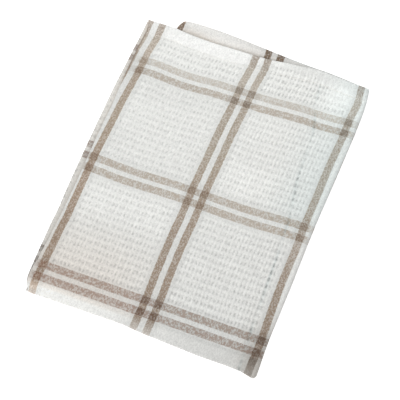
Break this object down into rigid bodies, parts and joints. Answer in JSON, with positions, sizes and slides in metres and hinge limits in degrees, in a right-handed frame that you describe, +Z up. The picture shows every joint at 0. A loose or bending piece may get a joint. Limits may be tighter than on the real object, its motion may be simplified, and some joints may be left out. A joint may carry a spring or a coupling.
{
  "type": "tea towel",
  "caption": "Waffle-weave cotton tea towel with a striped window check, folded in four into a flat rectangle that lies on a surface.",
  "frame": {"origin": "middle of the folded towel's outline, on the surface that it rests on", "axes": "+X along the short side towards the lengthwise fold, +Y along the long side from the crosswise fold to the hems, +Z up"},
  "size_m": [0.2656, 0.331, 0.0092],
  "materials": {
    "waffle_cotton": "off-white waffle-weave cotton with pairs of taupe stripes both ways, matt"
  },
  "bodies": {
    "root": {"towel_cloth": "waffle_cotton"}
  },
  "joints": []
}
